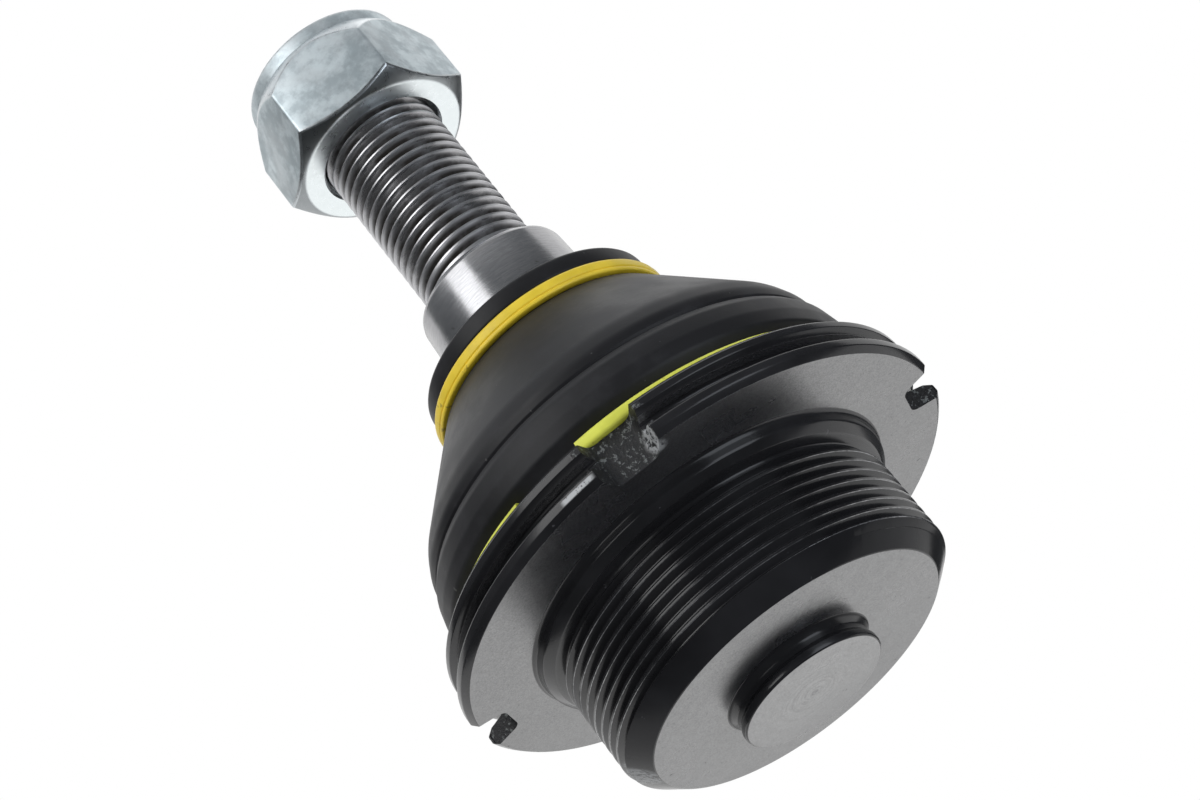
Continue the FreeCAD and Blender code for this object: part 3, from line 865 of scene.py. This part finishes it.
class BALLJOINT_OT_stage(bpy.types.Operator):
    """Floor, dark cards, soft lamps, world and camera"""

    bl_idname = "ball_joint.stage"
    bl_label = "Stage"

    def execute(self, context):
        stage = settings("stage")
        start_fresh()
        bpy.ops.mesh.primitive_plane_add(size=FLOOR_WIDTH, location=(0.0, 0.0, stage.floor_height))
        floor = name_piece("studio_floor")
        bpy.ops.object.transform_apply()
        floor.data.materials.append(self.pale_paper())
        self.light_world(context.scene)
        self.dark_cards(stage.card_tone)
        self.lamp("left_strip", (-0.20, -0.34, 0.21), (0.22, 0.50), stage.left_power, PLAIN_LIGHT)
        self.lamp("right_strip", (0.35, -0.34, -0.12), (0.26, 0.55), stage.right_power, COOL_LIGHT)
        self.lamp("top_square", (0.06, 0.16, 0.72), (0.60, 0.60), stage.top_power, PLAIN_LIGHT)
        self.camera(context.scene, stage.lens)
        return {"FINISHED"}

    def pale_paper(self):
        """White for what the camera, metal and glass see, and a floor that takes a soft shadow."""
        made = Shader("studio_paper")
        made.finish(Base_Color=(0.86, 0.86, 0.86, 1.0), Roughness=0.8)
        white = made.node("ShaderNodeEmission", Strength=1.0)
        mixed = made.node("ShaderNodeMixShader")
        made.link(made.both(made.seen(), 0.95), mixed.inputs[0])
        made.link(made.surface.outputs["BSDF"], mixed.inputs[1])
        made.link(white.outputs["Emission"], mixed.inputs[2])
        made.link(mixed.outputs["Shader"], made.output.inputs["Surface"])
        return made.material

    def light_world(self, scene):
        """Soft light on the part, and white behind it."""
        world = bpy.data.worlds.new("studio")
        scene.world = world
        made = Nodes(world)
        mixed = made.node("ShaderNodeMixShader")
        made.link(made.seen(), mixed.inputs[0])
        for socket, colour, strength in ((1, (0.96, 0.98, 1.0, 1.0), 0.40), (2, (1.0, 1.0, 1.0, 1.0), 1.0)):
            light = made.node("ShaderNodeBackground", Color=colour, Strength=strength)
            made.link(light.outputs[0], mixed.inputs[socket])
        made.link(mixed.outputs[0], made.node("ShaderNodeOutputWorld").inputs["Surface"])

    def dark_cards(self, tone):
        """Dark cards round the part, seen only in reflections, so that gloss has a dark side."""
        made = Shader("dark_card")
        made.finish(Base_Color=(0.0, 0.0, 0.0, 1.0), Roughness=1.0, Emission_Color=(0.9, 0.95, 1.0, 1.0),
                    Emission_Strength=made.ramp(made.polar()[2], 0.30, 0.79, tone, 0.35))
        cards = [
            lathe("dark_card", [
                (60, -CARD_DEPTH, 0), (430, -CARD_DEPTH, 0), (CARD_RADIUS, -420, 0), (CARD_RADIUS, 760, 0),
            ], around=48, angle=220.0, turn=15.0),
            lathe("dark_card_below", [(0, -CARD_DEPTH - 1, 0), (300, -CARD_DEPTH - 1, 0)], around=48),
            lathe("dark_card_above", [(0, CARD_TOP, 0), (420, CARD_TOP, 0)], around=48),
            lathe("dark_card_right", [(CARD_RADIUS, -110, 0), (CARD_RADIUS, 130, 0)], around=24, angle=60.0,
                  turn=75.0),
        ]
        for card in cards:
            card.data.materials.append(made.material)
            card.visible_camera = False
            card.visible_diffuse = False
            card.visible_shadow = False

    def lamp(self, name, place, widths, energy, colour):
        start_fresh()
        bpy.ops.object.light_add(type="AREA", location=place)
        lamp = name_piece(name)
        lamp.data.shape = "RECTANGLE"
        lamp.data.size, lamp.data.size_y = widths
        lamp.data.energy = energy
        lamp.data.color = colour
        lamp.rotation_euler = (LAMP_TARGET - Vector(place)).to_track_quat("-Z", "Y").to_euler()

    def camera(self, scene, lens):
        start_fresh()
        bpy.ops.object.camera_add()
        camera = bpy.context.object
        camera.name = "camera"
        back = CAMERA_BACK.normalized()
        right = (CAMERA_RIGHT - back * CAMERA_RIGHT.dot(back)).normalized()
        turn = Matrix((right, back.cross(right), back)).transposed().to_4x4()
        camera.matrix_world = Matrix.Translation(CAMERA_PLACE) @ turn
        camera.data.sensor_fit = "HORIZONTAL"
        camera.data.sensor_width = 36.0
        camera.data.lens = lens
        camera.data.clip_start = 0.01
        camera.data.clip_end = 20.0
        scene.camera = camera


class BALLJOINT_OT_housing(bpy.types.Operator):
    """Housing with its helical thread, boss, flange, tool slots, rim and boot seat"""

    bl_idname = "ball_joint.housing"
    bl_label = "Housing"

    def execute(self, context):
        sizes = settings("housing")
        mm = in_mm(sizes)
        boss = mm.boss_radius
        waist = boss - BOSS_WAIST
        thread = mm.thread_radius
        root = thread - mm.thread_depth
        collar = mm.collar_radius
        flange = mm.flange_radius
        groove = mm.groove_radius
        rim = mm.rim_radius
        end = -mm.body_length
        boss_face = end - mm.boss_height
        relief = -COLLAR_LENGTH - RELIEF_LENGTH
        groove_low = FLANGE_THICKNESS
        groove_high = groove_low + GROOVE_WIDTH
        rim_back = groove_high + RIM_THICKNESS
        seat_end = rim_back + BOOT_SEAT_LENGTH
        body = lathe("housing_body", [
            (0, boss_face, 0), (boss, boss_face, EDGE), (boss, boss_face + BOSS_BAND, EDGE),
            (waist, boss_face + BOSS_BAND + BOSS_SLOPE, SOFT), (waist, end - BOSS_FOOT, SOFT),
            (boss + BOSS_FLARE, end, SOFT), (thread - mm.end_chamfer, end, SOFT),
            (thread, end + mm.end_chamfer_length, EDGE), (thread, relief, LAST_CREST),
            (root, relief + RELIEF_SLOPE, EDGE), (root, -COLLAR_LENGTH - RELIEF_SLOPE, EDGE),
            (thread + COLLAR_STEP, -COLLAR_LENGTH, EDGE), (collar, COLLAR_BEVEL - COLLAR_LENGTH, SOFT),
            (collar, 0, WIDE), (flange - SEAT_BEVEL, 0, FINE), (flange, SEAT_BEVEL, EDGE),
            (flange, groove_low - BACK_BEVEL_HEIGHT, EDGE), (flange - BACK_BEVEL_WIDTH, groove_low, EDGE),
            (groove, groove_low + GROOVE_DRAFT, SOFT), (groove, groove_high - GROOVE_DRAFT, SOFT),
            (rim - RIM_BEVEL_WIDTH, groove_high, FINE), (rim, groove_high + RIM_BEVEL_HEIGHT, FINE),
            (rim, rim_back - RIM_BEVEL_HEIGHT, FINE), (rim - RIM_BEVEL_HEIGHT, rim_back, FINE),
            (BOOT_SEAT_RADIUS, rim_back, FINE), (BOOT_SEAT_RADIUS, seat_end, FINE),
            (RIDGE_RADIUS, seat_end, FINE), (RIDGE_RADIUS, seat_end + RIDGE_WIDTH, EDGE),
            (ROLLED_RADIUS, ROLLED_HEIGHT, WIDE), (MOUTH_RADIUS, ROLLED_HEIGHT, SOFT),
            (MOUTH_RADIUS, CLOSING_HEIGHT, 0), (CAVITY_RADIUS, CLOSING_HEIGHT, 0),
            (CAVITY_RADIUS, end + FLOOR_WALL, 0), (0, end + FLOOR_WALL, 0),
        ], around=144)
        section = thread_section(sizes, (end + FIRST_GROOVE) * MM)
        cut(body, [helix("thread_cutter", section, sizes.pitch, BODY_TURNS, around=144)])
        cut(body, [self.slot_cutter(sizes, index * 360.0 / SLOT_COUNT) for index in range(SLOT_COUNT)])
        coat = black_coat(settings("colours").coat, sizes)
        finish_piece(body, coat, "housing", "housing")
        return {"FINISHED"}

    def slot_cutter(self, sizes, turn):
        """Wedge with rounded inner edges, as wide as the slot's mouth outside."""
        start_fresh()
        bpy.ops.mesh.primitive_cube_add(size=1.0)
        cutter = name_piece("slot_cutter")
        floor = sizes.flange_radius - sizes.slot_depth
        outside = sizes.flange_radius + CUT_OVER * MM
        flare = (sizes.slot_mouth - sizes.slot_floor) / 2 / sizes.slot_depth
        inner_half = sizes.slot_floor / 2
        outer_half = inner_half + flare * (outside - floor)
        for vertex in cutter.data.vertices:
            inner = vertex.co.x < 0
            across = inner_half if inner else outer_half
            side = 1 if vertex.co.y > 0 else -1
            height = SLOT_TOP if vertex.co.z > 0 else -CUT_OVER
            vertex.co = (floor if inner else outside, side * across, height * MM)
        set_mode("EDIT")
        bpy.ops.mesh.select_mode(type="EDGE")
        bpy.ops.mesh.select_all(action="DESELECT")
        set_mode("OBJECT")
        for edge in cutter.data.edges:
            first, second = (cutter.data.vertices[index].co for index in edge.vertices)
            upright = abs(first.z - second.z) > MM
            edge.select = upright and max(first.x, second.x) < outside - MM
        set_mode("EDIT")
        bpy.ops.mesh.bevel(offset=SLOT_ROUND * MM, segments=4, affect="EDGES")
        take_all()
        turn_selection(turn)
        bpy.ops.mesh.select_mode(type="VERT")
        leave_solid()
        return cutter


class BALLJOINT_OT_stud(bpy.types.Operator):
    """Ball stud with its ball, neck, ground taper and helical thread"""

    bl_idname = "ball_joint.stud"
    bl_label = "Ball stud"

    def execute(self, context):
        sizes = settings("stud")
        mm = in_mm(sizes)
        ball = mm.ball_radius
        middle = mm.ball_height
        neck = mm.neck_radius
        thread = mm.thread_radius
        taper = mm.taper_radius
        end = mm.end_height
        first = asin(BALL_FLAT / ball)
        last = pi - asin((neck + NECK_OUT) / ball)
        corners = [(0, middle - ball * cos(first), 0)]
        for step in range(BALL_STEPS + 1):
            turn = first + (last - first) * step / BALL_STEPS
            corners.append((ball * sin(turn), middle - ball * cos(turn), 0))
        flare_end = middle + FLARE_END
        corners += [
            (neck, middle + ball * cos(asin(neck / ball)) + NECK_UP, 0),
            (neck, middle + NECK_END, SWEEP),
            (taper + TAPER_SLOPE * (mm.taper_end - flare_end), flare_end, FULL),
            (taper, mm.taper_end, TAPER_ROUND), (thread, mm.taper_end + SHOULDER_RISE, EDGE),
            (thread, end - STUD_CHAMFER, FINE), (thread - STUD_CHAMFER, end, CREASE),
            (CENTRE_HOLE, end, CREASE), (0, end - CENTRE_HOLE * sqrt(3), 0),
        ]
        stud = lathe("ball_stud_body", corners, around=96)
        section = thread_section(sizes, sizes.taper_end + STUD_FIRST_GROOVE * MM)
        cut(stud, [helix("stud_thread_cutter", section, sizes.pitch, STUD_TURNS, 72, FADE_TURNS, FADE * MM)])
        colours = settings("colours")
        finish_piece(stud, stud_steel(colours.steel, colours.grime, sizes), "stud", "ball_stud")
        return {"FINISHED"}


class BALLJOINT_OT_boot(bpy.types.Operator):
    """Rubber boot: bead, bulge, fold line, cone, ring groove and lip"""

    bl_idname = "ball_joint.boot"
    bl_label = "Boot"

    def execute(self, context):
        mm = in_mm(settings("boot"))
        base = mm.base_height
        end = mm.end_height
        bulge = mm.bulge_radius
        groove_high = end - LIP_THICKNESS
        groove_low = groove_high - LIP_GROOVE_WIDTH
        inside_top = groove_low - RUBBER
        boot = lathe("rubber_boot", [
            (BEAD_INSIDE, base, FINE), (BEAD_RADIUS, base, FINE), (BEAD_RADIUS, base + BEAD_RISE, EDGE),
            (bulge, base + BULGE_RISE, BULGE_ROUND), (bulge, base + BULGE_TOP_RISE, BULGE_TOP_ROUND),
            (bulge - SHOULDER_STEP, base + SHOULDER_TOP_RISE, FULL),
            (bulge - FOLD_EDGE_STEP, base + FOLD_EDGE_RISE, SOFT),
            (bulge - FOLD_STEP, base + FOLD_RISE, CREASE), (bulge - FOOT_STEP, base + FOOT_RISE, EDGE),
            (bulge - FOOT_STEP, base + FOOT_TOP_RISE, FOOT_ROUND),
            (CONE_RADIUS, CONE_HEIGHT, SWEEP), (CONE_TOP_RADIUS, groove_low, SOFT),
            (LIP_GROOVE_RADIUS, groove_low, FINE), (LIP_GROOVE_RADIUS, groove_high, FINE),
            (mm.lip_radius, groove_high, EDGE), (mm.lip_radius, end, LIP_ROUND), (LIP_INSIDE, end, SOFT),
            (LIP_INSIDE, inside_top, SOFT), (CONE_TOP_RADIUS - RUBBER, inside_top, WIDE),
            (INNER_CONE_RADIUS, INNER_CONE_HEIGHT, INNER_CONE_ROUND),
            (ROOM_RADIUS, ROOM_TOP, ROOM_ROUND), (ROOM_RADIUS, ROOM_MIDDLE, 0),
            (ROOM_RADIUS, BEAD_TOP, CREASE), (BEAD_INSIDE, BEAD_TOP, CREASE),
        ], closed=True, around=144, steps=4)
        finish_piece(boot, boot_rubber(settings("colours").rubber), None, "boot")
        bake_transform(boot)
        return {"FINISHED"}


class BALLJOINT_OT_rings(bpy.types.Operator):
    """Split spring ring on the boot's bead and two-turn spring ring behind its lip"""

    bl_idname = "ball_joint.rings"
    bl_label = "Clamp rings"

    def execute(self, context):
        colours = settings("colours")
        lower = lathe("bead_spring_ring", [
            (SPLIT_INSIDE, SPLIT_HIGH, EDGE), (SPLIT_OUTSIDE, SPLIT_HIGH, SOFT),
            (SPLIT_OUTSIDE, SPLIT_LOW, WIRE_ROUND), (SPLIT_INSIDE, SPLIT_LOW, EDGE),
        ], closed=True, around=160, angle=360.0 - SPLIT_OPENING, turn=SPLIT_START)
        finish_piece(lower, ring_coat("lemon_coat", colours.lemon), "housing", "boot_clamp_housing")
        gap = COIL_LOW + WIRE_HEIGHT
        upper = lathe("lip_spring_ring", [
            (COIL_INSIDE, COIL_LOW, EDGE), (COIL_OUTSIDE, COIL_LOW, WIRE_ROUND),
            (COIL_OUTSIDE, gap - WIRE_GAP, FINE), (COIL_OUTSIDE - WIRE_GAP_DEPTH, gap, CREASE),
            (COIL_OUTSIDE, gap + WIRE_GAP, FINE), (COIL_OUTSIDE, COIL_HIGH, SOFT),
            (COIL_INSIDE, COIL_HIGH, EDGE),
        ], closed=True, around=144)
        finish_piece(upper, ring_coat("golden_coat", colours.golden), "boot_lip", "boot_clamp_stud")
        return {"FINISHED"}


class BALLJOINT_OT_nut(bpy.types.Operator):
    """Hexagon nut with chamfered corners, round collar and helical thread in its bore"""

    bl_idname = "ball_joint.nut"
    bl_label = "Nut"

    def execute(self, context):
        sizes = settings("nut")
        mm = in_mm(sizes)
        low = mm.face_height
        high = low + mm.hexagon_height
        end = high + mm.collar_height
        window = end - COLLAR_ROLL
        pocket = end - POCKET_DEPTH
        side = mm.collar_radius - COLLAR_CLEAR
        nut = self.hexagon(mm, low, high)
        soften(nut, NUT_EDGE * MM, NUT_EDGE_ANGLE)
        collar = lathe("nut_collar", [
            (COLLAR_INSIDE, high - COLLAR_SUNK, 0), (side, high - COLLAR_SUNK, 0), (side, end, FULL),
            (WINDOW_RADIUS, end, EDGE), (WINDOW_RADIUS, window, 0), (COLLAR_INSIDE, window, 0),
        ], closed=True, around=96)
        cut(nut, [collar], "UNION")
        bore = lathe("nut_bore", [
            (0, low - CUT_OVER, 0), (BORE_RADIUS + BORE_CHAMFER + CUT_OVER, low - CUT_OVER, 0),
            (BORE_RADIUS, low + BORE_CHAMFER, 0), (BORE_RADIUS, pocket, 0), (POCKET_RADIUS, pocket, 0),
            (POCKET_RADIUS, window, 0), (WINDOW_RADIUS, window, 0), (WINDOW_RADIUS, end + CUT_OVER, 0),
            (0, end + CUT_OVER, 0),
        ], around=96)
        cut(nut, [bore])
        section = mirrored([
            (NUT_CORE_RADIUS * MM, NUT_CORE_HALF * MM), (BORE_RADIUS * MM, NUT_MOUTH_HALF * MM),
            (NUT_ROOT_RADIUS * MM, NUT_ROOT_HALF * MM),
        ], (low - NUT_FIRST_GROOVE) * MM)
        cut(nut, [helix("nut_thread_cutter", section, NUT_PITCH * MM, NUT_TURNS, around=72)])
        zinc = zinc_plate(settings("colours").zinc, sizes)
        finish_piece(nut, zinc, "nut", "nut_body", NUT_SMOOTH_ANGLE)
        return {"FINISHED"}

    def hexagon(self, mm, low, high):
        """Hexagon whose corners are cut by a chamfer below and a cone above."""
        corner = mm.flats / sqrt(3)
        start_fresh()
        bpy.ops.mesh.primitive_cylinder_add(vertices=6, radius=corner * MM, depth=(high - low) * MM,
                                            location=(0.0, 0.0, (low + high) / 2 * MM))
        nut = name_piece("hexagon_nut")
        bpy.ops.object.transform_apply()
        edit_all()
        turn_selection(30.0)
        set_mode("OBJECT")
        lead = (corner - FACE_RADIUS) * tan(radians(FACE_CHAMFER))
        envelope = lathe("nut_envelope", [
            (0, low, 0), (FACE_RADIUS, low, 0), (corner + CORNER_CLEAR, low + lead, 0),
            (corner + CORNER_CLEAR, low + mm.edge_length + lead, 0), (mm.collar_radius, high, 0), (0, high, 0),
        ], around=72)
        return cut(nut, [envelope], "INTERSECT")


class BALLJOINT_OT_inner_pieces(bpy.types.Operator):
    """Finishes of the bearing, the spring, the closing ring and the nut's locking ring"""

    bl_idname = "ball_joint.inner_pieces"
    bl_label = "Inner pieces"

    def execute(self, context):
        colours = settings("colours")
        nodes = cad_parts
        plastic = moulded_plastic("bearing_plastic", colours.plastic)
        paint(nodes["bearing_cup"], plastic)
        paint(nodes["bearing_ring"], plastic)
        paint(nodes["closing_ring"], turned_steel("plain_steel", colours.steel))
        paint(nodes["preload_spring"], turned_steel("spring_steel", scaled(colours.steel, 0.8)))
        paint(nodes["nut_insert"], moulded_plastic("nylon", colours.nylon))
        return {"FINISHED"}


class BALLJOINT_PT_panel(bpy.types.Panel):
    """Buttons and sizes of the ball joint"""

    bl_idname = "BALLJOINT_PT_panel"
    bl_label = "Ball joint"
    bl_space_type = "VIEW_3D"
    bl_region_type = "UI"
    bl_category = "Ball Joint"

    def draw(self, context):
        for operator in OPERATORS:
            self.layout.operator(operator.bl_idname)
        for key in GROUPS:
            box = self.layout.box()
            group = settings(key)
            for name in group.__annotations__:
                box.prop(group, name)


GROUPS = {
    "housing": HousingSizes,
    "stud": StudSizes,
    "boot": BootSizes,
    "nut": NutSizes,
    "colours": FinishColours,
    "stage": StageSettings,
}
OPERATORS = (
    BALLJOINT_OT_stage,
    BALLJOINT_OT_housing,
    BALLJOINT_OT_stud,
    BALLJOINT_OT_boot,
    BALLJOINT_OT_rings,
    BALLJOINT_OT_nut,
    BALLJOINT_OT_inner_pieces,
)
CLASSES = (*GROUPS.values(), *OPERATORS, BALLJOINT_PT_panel)


def register():
    for known in CLASSES:
        bpy.utils.register_class(known)
    for key, group in GROUPS.items():
        setattr(bpy.types.Scene, "ball_joint_" + key, bpy.props.PointerProperty(type=group))


def unregister():
    for key in GROUPS:
        delattr(bpy.types.Scene, "ball_joint_" + key)
    for known in reversed(CLASSES):
        bpy.utils.unregister_class(known)


def main():
    register()
    bpy.context.scene.view_settings.view_transform = "Standard"
    bpy.ops.ball_joint.stage()
    bpy.ops.ball_joint.housing()
    bpy.ops.ball_joint.stud()
    bpy.ops.ball_joint.boot()
    bpy.ops.ball_joint.rings()
    bpy.ops.ball_joint.nut()
    bpy.ops.ball_joint.inner_pieces()


if __name__ == "__main__":
    main()
